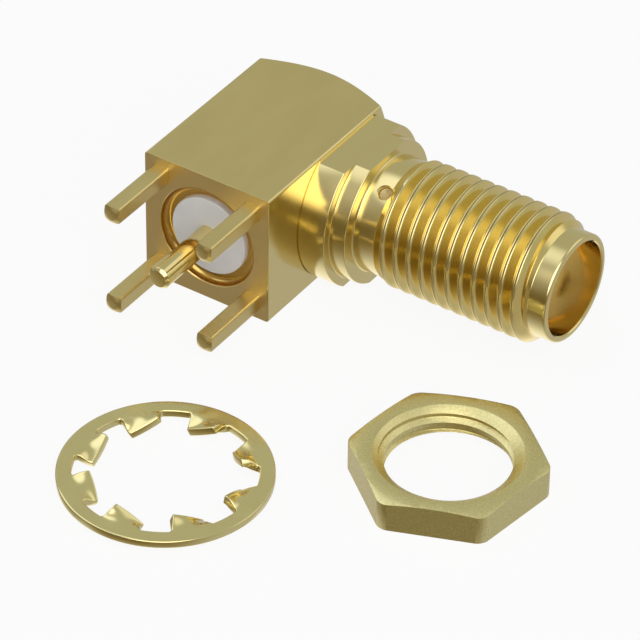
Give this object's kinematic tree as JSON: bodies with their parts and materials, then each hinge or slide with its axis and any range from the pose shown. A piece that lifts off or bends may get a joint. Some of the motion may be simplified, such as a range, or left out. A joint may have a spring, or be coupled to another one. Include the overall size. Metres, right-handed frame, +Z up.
{
  "type": "sma connector",
  "caption": "Right-angle coaxial jack for a circuit board, gold plated, lying on its side with its panel nut and internal-tooth lock washer beside it.",
  "frame": {"origin": "centre of the board face of the block, on the axis of the tail pin", "axes": "+X along the threaded barrel towards its mouth; +Y from the board face into the block, so the board posts point along -Y; +Z up, square to the side of the block that the jack lies on"},
  "size_m": [0.024, 0.0271, 0.0068],
  "materials": {
    "gold_plate": "bright gold plating",
    "nut_gold": "matte gold plating",
    "spring_gold": "stamped, gold plating",
    "contact_gold": "polished gold plating",
    "ptfe": "matte",
    "epoxy": "glossy"
  },
  "bodies": {
    "root": {"body": "gold_plate", "front_insulator": "ptfe", "rear_insulator": "ptfe", "staking_plug": "epoxy", "socket_contact": "contact_gold", "tail_pin": "contact_gold", "panel_nut": "nut_gold", "lock_washer": "spring_gold"}
  },
  "joints": []
}
